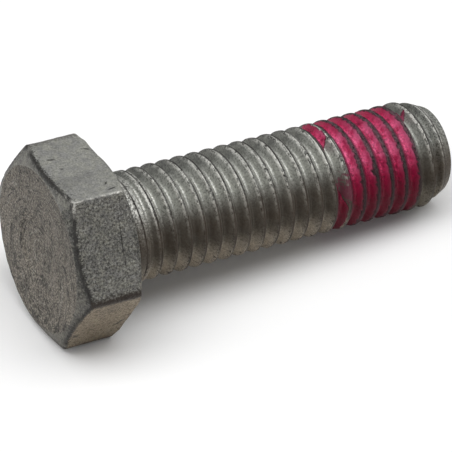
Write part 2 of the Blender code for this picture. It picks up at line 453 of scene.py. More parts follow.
@dataclass
class HelicalGrid:
    """Grid of faces whose rows follow the thread's helix, so that every row keeps its place in the groove.

    Attributes:
        columns: Faces around the shank.
        rows: Faces to a pitch.
        first: Pitch count at which the rows start.
        last: Pitch count at which they end.
        gather: How far the rows are drawn to crest and root, from 0 to under 1.
    """

    columns: int
    rows: int
    first: float
    last: float
    gather: float = 0.45

    def add_to(
        self, tree: bpy.types.NodeTree, pitch: bpy.types.NodeSocket, sizes: ThreadSizes
    ) -> tuple[bpy.types.NodeSocket, bpy.types.NodeSocket, bpy.types.NodeSocket]:
        """Adds the grid to a tree.

        Args:
            tree: The tree.
            pitch: The thread's pitch.
            sizes: The thread's other sizes.

        Returns:
            The grid, and the turn and height that each of its points stands for.
        """
        span = self.last - self.first
        grid = add(tree, "GeometryNodeMeshGrid", 1.0, span, self.columns + 1, round(span * self.rows) + 1)
        place = add(tree, "GeometryNodeInputPosition")
        across = add(tree, "ShaderNodeSeparateXYZ", place, out="X")
        upward = add(tree, "ShaderNodeSeparateXYZ", place, out="Y")
        turn = add(tree, MATH, across, 0.5 + sizes.back, operation="ADD")
        count = add(tree, MATH, upward, self.first + span / 2, operation="ADD")
        twice = add(tree, MATH, count, 2 * math.tau, operation="MULTIPLY")
        wave = add(tree, MATH, twice, operation="SINE")
        drawn = add(
            tree, MATH, wave, -self.gather / (2 * math.tau), count, operation="MULTIPLY_ADD"
        )
        wound = add(tree, MATH, drawn, turn, operation="ADD")
        begun = add(tree, MATH, wound, sizes.start, operation="ADD")
        return grid, turn, add(tree, MATH, begun, pitch, operation="MULTIPLY")


@dataclass
class ThreadedShank:
    """The rolled thread with its neck, run-out and chamfered point, made by Geometry Nodes.

    Attributes:
        sizes: The thread's sizes.
        grid: The faces that it is made of.
        sunk: How far the shank reaches into the head, in millimetres.
        cap: Share of a pitch over which the rows close an end.
        cup: Depth of the hollow that rolling leaves in the point's end.
        seed: Seed of its chips and swellings.
    """

    sizes: ThreadSizes
    grid: HelicalGrid
    sunk: float = 0.06
    cap: float = 0.7
    cup: float = 0.35
    seed: float = 4.0

    def tree(self, form: bpy.types.NodeTree) -> bpy.types.NodeTree:
        """Builds the tree.

        Args:
            form: The thread form group.

        Returns:
            The tree, with named inputs for pitch, crest radius, depth, length, seed and finish.
        """
        floats = ("Pitch", "Crest Radius", "Depth", "Length", "Seed")
        tree, wanted = open_tree(
            "threaded_shank", {**{key: "Float" for key in floats}, "Finish": "Material"}, {"Shank": "Geometry"}
        )
        pitch, crest, depth, length, seed = (wanted.outputs[key] for key in floats)
        grid, turn, height = self.grid.add_to(tree, pitch, self.sizes)
        inside = add(tree, "ShaderNodeClamp", height, -self.sunk, length)
        past = add(tree, MATH, height, inside, operation="SUBTRACT")
        over = add(tree, MATH, past, operation="ABSOLUTE")
        reach = add(tree, MATH, pitch, self.cap, operation="MULTIPLY")
        closing = add(tree, RANGE, over, 0.0, reach, 1.0, 0.0)

        shape = add(tree, "GeometryNodeGroup", node_tree=form).node
        for socket, value in zip(shape.inputs, (turn, inside, pitch, crest, depth, length, seed)):
            tree.links.new(value, socket)
        drawn_in = add(tree, MATH, shape.outputs["Radius"], closing, operation="MULTIPLY")
        hollow = add(
            tree, RANGE, closing, 0.94, 0.55, 0.0, self.cup, interpolation_type="SMOOTHSTEP"
        )
        at_point = add(tree, MATH, past, 0.0, operation="GREATER_THAN")
        sunk_in = add(tree, MATH, hollow, at_point, operation="MULTIPLY")
        along = add(tree, MATH, inside, sunk_in, operation="SUBTRACT")

        place = point_at(tree, turn, drawn_in, along)

        # On the ends no crest is near, and each place lies as far in as it really does
        from_crest = shape.outputs["Crest Distance"]
        crest_off = add(tree, MATH, over, 3.0, from_crest, operation="MULTIPLY_ADD")
        inward = add(tree, "ShaderNodeCombineXYZ", closing, closing, 1.0)
        spot = add(tree, VECTOR, shape.outputs["Spot"], inward, operation="MULTIPLY")
        formed = {key.lower(): shape.outputs[key] for key in ("Lay", "Level")}
        marked = grid
        for key, value in {**formed, "crest": crest_off, "spot": spot, "skin": place}.items():
            kind = "FLOAT_VECTOR" if value.type == "VECTOR" else "FLOAT"
            marked = add(tree, "GeometryNodeStoreNamedAttribute", marked, None, key, value, data_type=kind)
        wound = add(tree, "GeometryNodeSetPosition", marked, None, place)
        sealed(tree, wound, wanted.outputs["Finish"])
        return tree

    def build(self, form: bpy.types.NodeTree, coat: bpy.types.Material, axes: ScrewAxes) -> bpy.types.Object:
        """Makes the shank.

        Args:
            form: The thread form group.
            coat: Its finish.
            axes: The screw's axes.

        Returns:
            The shank.
        """
        s = self.sizes
        values = {"Pitch": s.pitch, "Crest Radius": s.crest_radius, "Depth": s.depth, "Length": s.length}
        piece = grown("threaded_shank", self.tree(form), {**values, "Seed": self.seed, "Finish": coat})
        return seated(piece, axes, "screw")


@dataclass
class LockingFilm:
    """The film that was brushed on wet and dried in the grooves near the point.

    Attributes:
        sizes: The thread's sizes.
        columns: Faces around the shank.
        pitches: Pitch counts between which its rows run.
        low: Height at which the sleeve starts, in millimetres.
        high: Height at which it ends.
        sunk: How far the sleeve's inner side lies in the steel.
        thickness: How far the film's surface stands out of the groove, along the radius.
        first: Groove turn at which the film starts.
        last: Groove turn at which it ends.
        slant: Slant of its first end across the groove.
        dabs: Short runs of film, each with its first and last groove turn and the slants of those ends.
        chips: Places where it chipped off, each with its middle, inner and outer radius.
        seed: Seed of its edges and swellings.
    """

    sizes: ThreadSizes
    columns: int = 168
    pitches: tuple[float, float] = (12.5, 21.75)
    low: float = 24.3
    high: float = 38.2
    sunk: float = 0.09
    thickness: float = 0.24
    first: float = 14.205
    last: float = 19.885
    slant: float = 0.14
    dabs: tuple[tuple[float, float, float, float], ...] = (
        (13.87, 14.045, 0.0, -0.07),
        (19.978, 20.012, 0.0, -0.06),
    )
    chips: tuple[tuple[tuple[float, float, float], float, float], ...] = (
        ((2.78, 4.63, 30.1), 0.40, 0.54),
        ((2.20, 4.93, 28.3), 0.10, 0.35),
        ((4.95, -2.10, 27.9), 0.20, 0.40),
    )
    seed: float = 4.0

    def tree(self, form: bpy.types.NodeTree) -> bpy.types.NodeTree:
        """Builds the tree: an outer and an inner side that meet in a ring at each end.

        Args:
            form: The thread form group.

        Returns:
            The tree, with named inputs for the sizes, seed and finish.
        """
        shared = ("Pitch", "Crest Radius", "Depth", "Length", "Seed")
        floats = (*shared, "Low", "High", "Sunk", "Thickness", "First", "Last")
        tree, wanted = open_tree(
            "locking_film", {**{key: "Float" for key in floats}, "Finish": "Material"}, {"Film": "Geometry"}
        )
        socket = wanted.outputs
        sides = []
        for side in Side:
            outer = side is Side.OUTER
            gather = HelicalGrid.gather if outer else 0.0
            rows = HelicalGrid(self.columns, side.value, *self.pitches, gather)
            mesh, turn, height = rows.add_to(tree, socket["Pitch"], self.sizes)
            inside = add(tree, "ShaderNodeClamp", height, socket["Low"], socket["High"])
            shape = add(tree, "GeometryNodeGroup", node_tree=form).node
            for end, value in zip(shape.inputs, (turn, inside, *(socket[key] for key in shared))):
                tree.links.new(value, end)
            under = add(tree, MATH, shape.outputs["Radius"], socket["Sunk"], operation="SUBTRACT")
            if outer:
                rise, cover = self.rise(tree, socket, shape, inside)
                under = add(tree, MATH, under, rise, operation="ADD")
                formed = {key.lower(): shape.outputs[key] for key in ("Across", "Spot", "Skin")}
                for key, value in {"cover": cover, **formed}.items():
                    kind = "FLOAT_VECTOR" if value.type == "VECTOR" else "FLOAT"
                    mesh = add(
                        tree, "GeometryNodeStoreNamedAttribute", mesh, None, key, value, data_type=kind
                    )
            wound = add(tree, "GeometryNodeSetPosition", mesh, None, point_at(tree, turn, under, inside))
            sides.append(wound if outer else add(tree, "GeometryNodeFlipFaces", wound))
        joined = add(tree, "GeometryNodeJoinGeometry", sides[0])
        tree.links.new(sides[1], joined.node.inputs[0])
        sealed(tree, joined, socket["Finish"])
        return tree

    def rise(
        self, tree: bpy.types.NodeTree, socket: Any, shape: bpy.types.Node, height: bpy.types.NodeSocket
    ) -> tuple[bpy.types.NodeSocket, bpy.types.NodeSocket]:
        """Adds how far the film's outer side stands off its inner side.

        Args:
            tree: The tree.
            socket: The tree's named inputs.
            shape: The thread form node.
            height: Height of each point.

        Returns:
            The rise in millimetres, and the film's cover from 0 to 1.
        """
        spot, seed, across = shape.outputs["Spot"], socket["Seed"], shape.outputs["Across"]
        ragged = add(tree, NOISE, spot, seed, 1.1, 3.0, 0.6, noise_dimensions="4D")
        lumps = add(tree, NOISE, spot, seed, 0.9, 2.0, 0.5, noise_dimensions="4D")
        fine = add(tree, NOISE, spot, seed, 3.5, 2.0, 0.5, noise_dimensions="4D")
        ragged_turn = add(
            tree, MATH, ragged, 0.03, shape.outputs["Groove Turn"], operation="MULTIPLY_ADD"
        )
        turn = add(tree, MATH, ragged_turn, 0.015, operation="SUBTRACT")
        painted = None
        body = (socket["First"], socket["Last"], self.slant, 0.0)
        for first, last, first_slope, last_slope in (body, *self.dabs):
            begun = add(tree, MATH, across, -first_slope, turn, operation="MULTIPLY_ADD")
            ended = add(tree, MATH, across, -last_slope, turn, operation="MULTIPLY_ADD")
            begins = add(tree, MATH, begun, first, operation="SUBTRACT")
            ends = add(tree, MATH, last, ended, operation="SUBTRACT")
            nearer = add(tree, MATH, begins, ends, operation="MINIMUM")
            dab = add(tree, RANGE, nearer, 0.0, 0.009, 0.0, 1.0, interpolation_type="SMOOTHSTEP")
            painted = dab if painted is None else add(tree, MATH, painted, dab, operation="MAXIMUM")
        for middle, inner, outer in self.chips:
            away = add(tree, VECTOR, spot, middle, operation="DISTANCE", out="Value")
            ragged_away = add(tree, MATH, fine, 0.5, away, operation="MULTIPLY_ADD")
            kept = add(tree, RANGE, ragged_away, inner + 0.25, outer + 0.25, 0.0, 1.0)
            painted = add(tree, MATH, painted, kept, operation="MULTIPLY")
        from_crest = shape.outputs["Crest Distance"]
        edge_noise = add(tree, MATH, fine, 0.42, from_crest, operation="MULTIPLY_ADD")
        off_crest = add(
            tree, RANGE, edge_noise, 0.35, 0.55, 0.0, 1.0, interpolation_type="SMOOTHSTEP"
        )
        cover = add(tree, MATH, painted, off_crest, operation="MULTIPLY")
        lumpy = add(tree, RANGE, lumps, 0.3, 0.7, 0.82, 1.18)
        full = add(tree, MATH, lumpy, socket["Thickness"], operation="MULTIPLY")
        bare = add(tree, MATH, socket["Sunk"], 0.45, operation="MULTIPLY")
        above = add(tree, MATH, full, socket["Sunk"], operation="ADD")
        risen = add(tree, MIX, cover, bare, above, data_type="FLOAT")
        start = add(tree, MATH, height, socket["Low"], operation="SUBTRACT")
        end = add(tree, MATH, socket["High"], height, operation="SUBTRACT")
        nearest = add(tree, MATH, start, end, operation="MINIMUM")
        pinch = add(tree, RANGE, nearest, 0.0, 0.35, 0.0, 1.0)
        return add(tree, MATH, risen, pinch, operation="MULTIPLY"), cover

    def build(self, form: bpy.types.NodeTree, finish: bpy.types.Material, axes: ScrewAxes) -> bpy.types.Object:
        """Makes the film.

        Args:
            form: The thread form group.
            finish: Its finish.
            axes: The screw's axes.

        Returns:
            The film.
        """
        s = self.sizes
        values = {
            "Pitch": s.pitch, "Crest Radius": s.crest_radius, "Depth": s.depth, "Length": s.length,
            "Low": self.low, "High": self.high, "Sunk": self.sunk, "Thickness": self.thickness,
            "First": self.first, "Last": self.last, "Seed": self.seed, "Finish": finish,
        }
        piece = grown("dried_locking_film", self.tree(form), values)
        return seated(piece, axes, "locking_patch")


class ForgedSide(Enum):
    """The head's flats, each with its turn from the top flat in degrees and how coarse its skin is."""

    TOP = (0, 0.25)
    FRONT_UPPER = (60, 1.15)
    FRONT_LOWER = (120, 0.8)
    BOTTOM = (180, 0.6)
    BACK_LOWER = (240, 0.9)
    BACK_UPPER = (300, 0.7)

    @property
    def grain(self) -> float:
        """How coarse the skin is."""
        return self.value[1]

    @classmethod
    def at(cls, turn: float) -> "ForgedSide":
        """Gives the flat at a turn in radians."""
        return list(cls)[round(math.degrees(turn) / 60) % 6]


class Ridge(Enum):
    """The ridges between the flats, each with how far it is worn bright, partly as painted highlight, and how
    far soot and painted shade sit on it.
    """

    FRONT_TOP = (30, 1.0, 0.0)
    FRONT = (90, 0.0, 1.0)
    FRONT_BOTTOM = (150, 0.3, 0.5)
    BACK_BOTTOM = (210, 0.4, 0.4)
    BACK = (270, 0.1, 0.8)
    BACK_TOP = (330, 0.35, 0.35)

    @property
    def wear_and_highlight(self) -> float:
        """How far it is worn bright, partly as painted highlight."""
        return self.value[1]

    @property
    def soot_and_shade(self) -> float:
        """How far soot and painted shade sit on it."""
        return self.value[2]

    @classmethod
    def at(cls, turn: float) -> "Ridge":
        """Gives the ridge nearest to a turn in radians."""
        return list(cls)[round((math.degrees(turn) - 30) / 60) % 6]


@dataclass(frozen=True)
class Mark:
    """A scratch or pit in the forged skin.

    Attributes:
        start: One end, in millimetres along the screw.
        end: The other end.
        turn: Turn of the flat that it lies in, in degrees.
        half_width: Half its width.
    """

    start: tuple[float, float, float]
    end: tuple[float, float, float]
    turn: float
    half_width: float = 0.07

    def around(self, tree: bpy.types.NodeTree, spot: bpy.types.NodeSocket) -> bpy.types.NodeSocket:
        """Adds the distance from the mark, which is 1 at its edge.

        Args:
            tree: The material's tree.
            spot: The place, in millimetres along the screw.

        Returns:
            The distance.
        """
        first, last = Vector(self.start), Vector(self.end)
        half_length = (last - first).length / 2 + self.half_width
        normal = Vector((math.cos(math.radians(self.turn)), math.sin(math.radians(self.turn)), 0.0))
        way = (last - first if half_length > 2 * self.half_width else Vector((0, 0, 1))).normalized()
        lying = Matrix((way, normal.cross(way).normalized(), normal)).transposed()
        size = (half_length, self.half_width, 1.5)
        local = add(
            tree, "ShaderNodeMapping", spot, (first + last) / 2, lying.to_euler(), size, vector_type="TEXTURE"
        )
        return add(tree, VECTOR, local, operation="LENGTH", out="Value")


@dataclass
class ForgedHead:
    """The hexagon head: dished and chamfered on top, with a washer face below, all edges a little soft.

    Attributes:
        flat: From the axis to a flat, in millimetres.
        height: From the bearing face to the top.
        face_radius: Radius of the flat top, where the chamfer starts.
        chamfer: Slope angle of the chamfer, in degrees.
        ridge: Radius of the ridges between the flats.
        relief_radius: Radius at which the corners start to fall away under the head.
        relief: Slope angle of that fall, in degrees.
        washer_radius: Radius of the washer face.
        washer_height: Height of the washer face.
        dish: Radii of the dish's floor and rim.
        dish_depth: Depth of the dish.
        columns: Faces around the head.
        grain: Height of the forged surface's unevenness.
    """

    flat: float = 9.5
    height: float = 7.5
    face_radius: float = 8.95
    chamfer: float = 24.0
    ridge: float = 0.55
    relief_radius: float = 10.2
    relief: float = 26.0
    washer_radius: float = 8.9
    washer_height: float = 0.7
    dish: tuple[float, float] = (3.6, 4.1)
    dish_depth: float = 0.22
    columns: int = 480
    grain: float = 0.035

    def outline(self, angle: np.ndarray) -> np.ndarray:
        """Gives the radius of the rounded hexagon at each angle.

        Args:
            angle: Angles from the top flat, in radians.

        Returns:
            The radii, in millimetres.
        """
        off = np.abs((angle + math.pi / 6) % (math.pi / 3) - math.pi / 6)
        centre = (self.flat - self.ridge) / math.cos(math.pi / 6)
        to_ridge = math.pi / 6 - off
        inside = np.maximum(self.ridge**2 - (centre * np.sin(to_ridge)) ** 2, 0.0)
        rounded = centre * np.cos(to_ridge) + np.sqrt(inside)
        tangent = math.atan((self.flat - self.ridge) * math.tan(math.pi / 6) / self.flat)
        return np.where(off <= tangent, self.flat / np.cos(off), rounded)

    def corners(self, radius: np.ndarray) -> list[tuple[np.ndarray, np.ndarray, float, int]]:
        """Gives the head's profile at each angle.

        Args:
            radius: The hexagon's radius at each angle.

        Returns:
            Each corner's radius, height, rounding, and rows of faces on the way to it.
        """
        same = np.ones_like(radius)
        top, seat = -self.height, -self.washer_height
        floor, rim = self.dish
        chamfered = top + (radius - self.face_radius) * math.tan(math.radians(self.chamfer))
        relieved = seat - np.maximum(radius - self.relief_radius, 0.0) * math.tan(math.radians(self.relief))
        return [
            (0.0 * same, (top + self.dish_depth) * same, 0.0, 0),
            (floor * same, (top + self.dish_depth) * same, 1.2, 14),
            (rim * same, top * same, 1.0, 2),
            (self.face_radius * same, top * same, 0.5, 20),
            (radius, chamfered, 0.22, 7),
            (radius, relieved, 0.25, 34),
            (np.minimum(radius, self.relief_radius) - 0.05, seat * same, 0.1, 3),
            (self.washer_radius * same, seat * same, 0.15, 3),
            (self.washer_radius * same, 0.0 * same, 0.2, 3),
            (5.0 * same, 0.0 * same, 0.0, 10),
            (0.0 * same, 0.0 * same, 0.0, 1),
        ]

    def rows(self, radius: np.ndarray) -> np.ndarray:
        """Rounds the profile's corners and divides its sides.

        Args:
            radius: The hexagon's radius at each angle.

        Returns:
            Radius and height of every point, as rows by columns by two.
        """
        corners = self.corners(radius)
        points = [np.stack([r, z], axis=-1) for r, z, _, _ in corners]
        rows = [points[0]]
        for i in range(1, len(points)):
            before, corner = points[i - 1], points[i]
            rounding, steps = corners[i][2], corners[i][3]
            reach_in = np.zeros_like(corner)
            reach_out = np.zeros_like(corner)
            if rounding:
                into, away = corner - before, points[i + 1] - corner
                long_in, long_out = (np.linalg.norm(v, axis=-1, keepdims=True) + 1e-9 for v in (into, away))
                bend = np.arccos(np.clip(np.sum(into * away, -1, keepdims=True) / long_in / long_out, -1, 1))
                reach = np.minimum(rounding * np.tan(bend / 2), 0.42 * np.minimum(long_in, long_out))
                reach_in, reach_out = into / long_in * reach, away / long_out * reach
            start, end = rows[-1], corner - reach_in
            rows += [start + (end - start) * k / steps for k in range(1, steps + 1)]
            if rounding:
                after = corner + reach_out
                for t in (0.2, 0.4, 0.6, 0.8, 1.0):
                    rows.append((1 - t) ** 2 * end + 2 * t * (1 - t) * corner + t**2 * after)
        return np.stack(rows)

    def build(self, coat: bpy.types.Material, axes: ScrewAxes) -> bpy.types.Object:
        """Makes the head.

        Args:
            coat: Its finish.
            axes: The screw's axes.

        Returns:
            The head.
        """
        angle = np.arange(self.columns) * math.tau / self.columns
        radius = self.outline(angle)
        rows = self.rows(radius)
        x = rows[..., 0] * np.cos(angle)
        y = rows[..., 0] * np.sin(angle)
        grid = np.stack([x, y, rows[..., 1]], axis=-1)
        bm = bmesh.new()
        ring = [[bm.verts.new(point) for point in row] for row in grid[1:-1]]
        first, last = bm.verts.new(grid[0, 0]), bm.verts.new(grid[-1, 0])
        for k in range(self.columns):
            after = (k + 1) % self.columns
            bm.faces.new((first, ring[0][after], ring[0][k]))
            bm.faces.new((last, ring[-1][k], ring[-1][after]))
            for low, high in zip(ring, ring[1:]):
                bm.faces.new((low[k], low[after], high[after], high[k]))
        bmesh.ops.recalc_face_normals(bm, faces=bm.faces)
        self.roughen(bm)
        mesh = bpy.data.meshes.new("forged_head")
        bm.to_mesh(mesh)
        bm.free()
        mesh.shade_smooth()
        mesh.materials.append(coat)
        head = bpy.data.objects.new("forged_head", mesh)
        bpy.context.scene.collection.objects.link(head)
        return seated(head, axes, "screw")

    def roughen(self, bm: bmesh.types.BMesh) -> None:
        """Moves the outer points a little, as forging leaves them, and notes where each one lies.

        Args:
            bm: The head's mesh, in millimetres.
        """
        notes = {name: bm.verts.layers.float.new(name) for name in HEAD_NOTES}
        spot = bm.verts.layers.float_vector.new("spot")
        bm.normal_update()
        for vert in bm.verts:
            out = math.hypot(vert.co.x, vert.co.y)
            turn = math.atan2(vert.co.y, vert.co.x)
            off = abs((turn + math.pi / 6) % (math.pi / 3) - math.pi / 6)
            edge = float(self.outline(np.array([turn]))[0])
            border = -self.height + (edge - self.face_radius) * math.tan(math.radians(self.chamfer))
            side = ForgedSide.at(turn)
            on_face = vert.co.z < 0.5 - self.height and out < self.face_radius
            vert[notes["ridge"]] = (math.pi / 6 - off) * out
            vert[notes["rim"]] = vert.co.z - border if out > edge - 0.2 else out - edge
            vert[notes["grainy"]] = 1.3 if on_face else side.grain
            ridge = Ridge.at(turn)
            vert[notes["wear_and_highlight"]] = ridge.wear_and_highlight
            vert[notes["soot_and_shade"]] = ridge.soot_and_shade
            vert[spot] = vert.co
            if vert.co.z > -0.3 or out < 0.01:
                continue
            wide = noise.noise(vert.co * 0.35)
            middle = noise.noise(vert.co * 1.1 + Vector((7.0, 0.0, 0.0)))
            small = noise.noise(vert.co * 2.6 + Vector((0.0, 11.0, 0.0)))
            fine = noise.noise(vert.co * 4.2 + Vector((0.0, 0.0, 5.0)))
            rough = 0.5 * small + 0.45 * fine
            vert.co += vert.normal * self.grain * (1.2 * wide + 0.7 * middle + vert[notes["grainy"]] * rough)


@dataclass(frozen=True)
class ZincFlakeForged:
    """Zinc flake coat, dipped and spun on hot-forged steel: a matt grey with a dull metal sheen, grainy.

    Attributes:
        base: Colour of the coat.
        pale: Colour where flakes lie thick.
        face: Colour of the head's top, lighter and warmer than the coat as painted bounce light.
        dark: Colour of soot and open pits, and of the painted shade on the face's upper side.
        brown: Colour of soot and painted shade on the ridges.
        bevel: Colour of the tarnished chamfer.
        painted_bounce: Colour of the painted warm bounce light on the flat that faces the floor.
        scuffed: Colour of worn edges, also of the painted highlight on the ridges and of the glints on the
            face.
        metallic: How much of the light the flakes mirror.
        roughness: Of the coat.
        marks: Scratches and pits.
    """

    base: str = "#898986"
    pale: str = "#97978f"
    face: str = "#b1aba0"
    dark: str = "#1e1c19"
    brown: str = "#2a2017"
    bevel: str = "#1c1e1a"
    painted_bounce: str = "#bbad97"
    scuffed: str = "#c4c3bd"
    metallic: float = 0.12
    roughness: float = 0.55
    marks: tuple[Mark, ...] = (
        Mark((6.77, 7.06, -2.10), (3.62, 8.88, -2.25), 60),
        Mark((3.4, 9.0, -2.15), (3.0, 9.2, -2.2), 60, 0.05),
        Mark((-6.24, 7.37, -1.97), (-5.31, 7.90, -1.15), 120, 0.17),
        Mark((-6.57, 7.18, -6.49), (-6.5, 7.2, -6.3), 120, 0.22),
        Mark((9.5, -2.10, -5.80), (9.5, -1.95, -5.20), 0, 0.10),
        Mark((9.5, -0.18, -5.15), (9.5, -0.18, -5.15), 0, 0.12),
        Mark((9.5, -2.50, -1.40), (9.5, -2.30, -1.10), 0, 0.10),
        Mark((9.5, 3.82, -2.26), (9.5, 3.60, -2.00), 0, 0.10),
        Mark((9.5, 4.80, -2.30), (9.5, 4.70, -1.60), 0, 0.10),
    )

    def material(self) -> bpy.types.Material:
        """Builds the material.

        Returns:
            The material.
        """
        made, tree = blank_material("zinc_flake_forged")
        spot = add(tree, "ShaderNodeAttribute", attribute_name="spot", out="Vector")
        ridge, rim, grainy, wear_and_highlight, soot_and_shade = (
            add(tree, "ShaderNodeAttribute", attribute_name=name, out="Fac") for name in HEAD_NOTES
        )
        clouds = add(tree, NOISE, spot, 0.30, 3.0, 0.5, out="Fac")
        patches = add(tree, NOISE, spot, 1.0, 5.0, 0.62, out="Fac")
        # The real grain is about 0.05 mm. It is drawn at 0.25 mm so that it shows
        grain = add(tree, NOISE, spot, 4.4, 4.0, 0.8, out="Fac")
        relief = add(tree, NOISE, spot, 3.0, 3.0, 0.6, out="Fac")

        thick = add(tree, RANGE, patches, 0.40, 0.62, 0.0, 1.0)
        flat_spot = add(tree, VECTOR, spot, (1.0, 1.0, 0.0), operation="MULTIPLY")
        out_by = add(tree, VECTOR, flat_spot, operation="LENGTH", out="Value")
        inner = add(tree, RANGE, out_by, 8.85, 9.0, 1.0, 0.0)
        height = add(tree, "ShaderNodeSeparateXYZ", spot, out="Z")
        topmost = add(tree, MATH, height, -7.0, operation="LESS_THAN")
        on_face = add(tree, MATH, inner, topmost, operation="MULTIPLY")

        # Tool marks lie round the middle of the face
        rings = add(tree, "ShaderNodeCombineXYZ", out_by, 0.0, 0.0)
        wide = add(tree, VECTOR, flat_spot, (0.32, 0.32, 0.0), operation="MULTIPLY")
        ringed = add(tree, VECTOR, rings, wide, operation="ADD")
        arcs = add(tree, NOISE, ringed, 1.25, 3.0, 0.6, out="Fac")
        here = add(tree, RANGE, patches, 0.46, 0.54, 0.0, 1.0)
        off_arc = add(tree, MATH, arcs, 0.5, operation="SUBTRACT")
        from_arc = add(tree, MATH, off_arc, operation="ABSOLUTE")
        near_arc = add(tree, RANGE, from_arc, 0.018, 0.050, 0.85, 0.0)
        stroked = add(tree, MATH, near_arc, here, operation="MULTIPLY")
        broken = add(tree, MATH, stroked, on_face, operation="MULTIPLY")
        upward = add(tree, "ShaderNodeSeparateXYZ", spot, out="X")
        specks = add(tree, NOISE, spot, 1.7, 4.0, 0.7, out="Fac")
        thicker = add(tree, RANGE, upward, -8.5, -3.0, 0.06, 0.0)
        dirtier = add(tree, MATH, specks, thicker, operation="ADD")
        speck = add(tree, RANGE, dirtier, 0.54, 0.61, 0.0, 0.62)
        either = add(tree, MATH, broken, speck, operation="MAXIMUM")
        # Painted shade: the face is darker towards its upper side
        upper_shade = add(tree, RANGE, upward, -5.0, 7.0, 0.0, 0.30)
        darker = add(tree, MATH, either, upper_shade, operation="MAXIMUM")

        # Painted warm bounce light on the flat that faces the floor and the camera
        lower_out = add(tree, VECTOR, spot, way_at(120), operation="DOT_PRODUCT", out="Value")
        on_lower = add(tree, RANGE, lower_out, 9.2, 9.42, 0.0, 1.0)
        with_painted_light = add(tree, MATH, on_lower, 0.6, operation="MULTIPLY")
        face_marks_and_shade = add(tree, MATH, darker, on_face, operation="MULTIPLY")
        glint = add(tree, RANGE, arcs, 0.60, 0.64, 0.0, 0.35)
        glinting = add(tree, MATH, glint, on_face, operation="MULTIPLY")
        soot = add(tree, RANGE, clouds, 0.50, 0.70, 0.0, 0.24)
        # The face's colour and the lower flat's tint are painted bounce light
        toned = linear(self.base)
        for mask, colour in (
            (thick, self.pale), (on_face, self.face), (with_painted_light, self.painted_bounce),
            (face_marks_and_shade, self.dark), (glinting, self.scuffed), (soot, self.dark),
        ):
            toned = add(tree, MIX, mask, toned, linear(colour), data_type="RGBA")

        contrast = add(tree, MATH, grainy, 1.0, 0.6, operation="MULTIPLY_ADD")
        centred = add(tree, RANGE, grain, 0.31, 0.62, -0.5, 0.32)
        swing = add(tree, MATH, centred, contrast, 1.0, operation="MULTIPLY_ADD")
        dimmed = add(tree, MATH, grainy, -0.35, swing, operation="MULTIPLY_ADD")
        lit = add(tree, MATH, dimmed, 0.15, operation="MAXIMUM")
        speckled = add(tree, VECTOR, toned, None, operation="SCALE", named={"Scale": lit})

        chamfer_out = add(tree, RANGE, out_by, 8.85, 9.05, 0.0, 1.0)
        chamfer_in = add(tree, RANGE, rim, -0.05, 0.05, 1.0, 0.0)
        on_chamfer = add(tree, MATH, chamfer_out, chamfer_in, operation="MULTIPLY")
        bevel_out = add(tree, VECTOR, spot, way_at(40), operation="DOT_PRODUCT", out="Value")
        sheltered = add(tree, RANGE, bevel_out, -1.0, 5.5, 0.45, 1.0)
        tarnished = add(tree, RANGE, rim, -0.90, -0.15, 0.35, 0.92)
        tarnish = add(tree, MATH, sheltered, tarnished, operation="MULTIPLY")
        bevel_open = add(tree, RANGE, relief, 0.42, 0.58, 1.1, 0.55)
        mottled = add(tree, MATH, tarnish, bevel_open, operation="MULTIPLY")
        bevel = add(tree, MATH, on_chamfer, mottled, operation="MULTIPLY")

        ragged = add(tree, MATH, centred, 0.55, operation="MULTIPLY")
        from_rim = add(tree, MATH, rim, operation="ABSOLUTE")
        rim_ragged = add(tree, MATH, from_rim, ragged, operation="ADD")
        by_rim = add(tree, RANGE, rim_ragged, 0.19, 0.42, 1.0, 0.0)
        rim_open = add(tree, RANGE, patches, 0.42, 0.58, 1.0, 0.85)
        rim_line = add(tree, MATH, by_rim, rim_open, operation="MULTIPLY")
        fringe = add(tree, RANGE, from_rim, 0.3, 1.3, 0.9, 0.0)
        pitted = add(tree, RANGE, grain, 0.36, 0.46, 1.0, 0.0)
        open_lower = add(tree, MATH, on_lower, 0.5, operation="MULTIPLY")
        open_pits = add(tree, MATH, fringe, open_lower, operation="MAXIMUM")
        fringed = add(tree, MATH, open_pits, pitted, operation="MULTIPLY")
        rim_soot = add(tree, MATH, rim_line, fringed, operation="MAXIMUM")

        # Soot beside the ridges, darkest on the ridges that lie sideways, where it is partly painted shade
        ridge_ragged = add(tree, MATH, ridge, ragged, operation="ADD")
        by_ridge = add(tree, RANGE, ridge_ragged, 0.30, 0.72, 1.0, 0.0)
        on_flats = add(tree, RANGE, rim, -0.15, 0.0, 0.0, 1.0)
        ridge_side = add(tree, MATH, by_ridge, on_flats, operation="MULTIPLY")
        ridge_soot_and_shade = add(tree, MATH, ridge_side, soot_and_shade, operation="MULTIPLY")

        # Worn metal along the ridges and at their top corners, brightest on the upper front ridge, where it is
        # partly painted highlight
        close_by = add(tree, RANGE, ridge_ragged, 0.0, 0.11, 1.0, 0.0)
        near_ridge = add(tree, MATH, close_by, on_flats, operation="MULTIPLY")
        at_corner = add(tree, RANGE, ridge, 0.7, 1.6, 1.0, 0.0)
        corner_rim = add(tree, RANGE, rim_ragged, 0.10, 0.26, 1.0, 0.0)
        cornered = add(tree, MATH, at_corner, corner_rim, operation="MULTIPLY")
        exposed = add(tree, MATH, near_ridge, cornered, operation="MAXIMUM")
        wearing = add(tree, RANGE, patches, 0.43, 0.56, 0.0, 0.90)
        worn_by = add(tree, MATH, exposed, wearing, operation="MULTIPLY")
        worn = add(tree, MATH, worn_by, wear_and_highlight, operation="MULTIPLY")

        cut = None
        for mark in self.marks:
            distance = add(tree, MATH, mark.around(tree, spot), ragged, operation="ADD")
            inside = add(tree, RANGE, distance, 0.6, 1.5, 0.9, 0.0)
            cut = inside if cut is None else add(tree, MATH, cut, inside, operation="MAXIMUM")
        scratches_and_painted_light = speckled
        for mask, colour in (
            (bevel, self.bevel), (rim_soot, self.dark), (ridge_soot_and_shade, self.brown),
            (worn, self.scuffed), (cut, self.dark),
        ):
            scratches_and_painted_light = add(tree, MIX, mask, scratches_and_painted_light, linear(colour), data_type="RGBA")

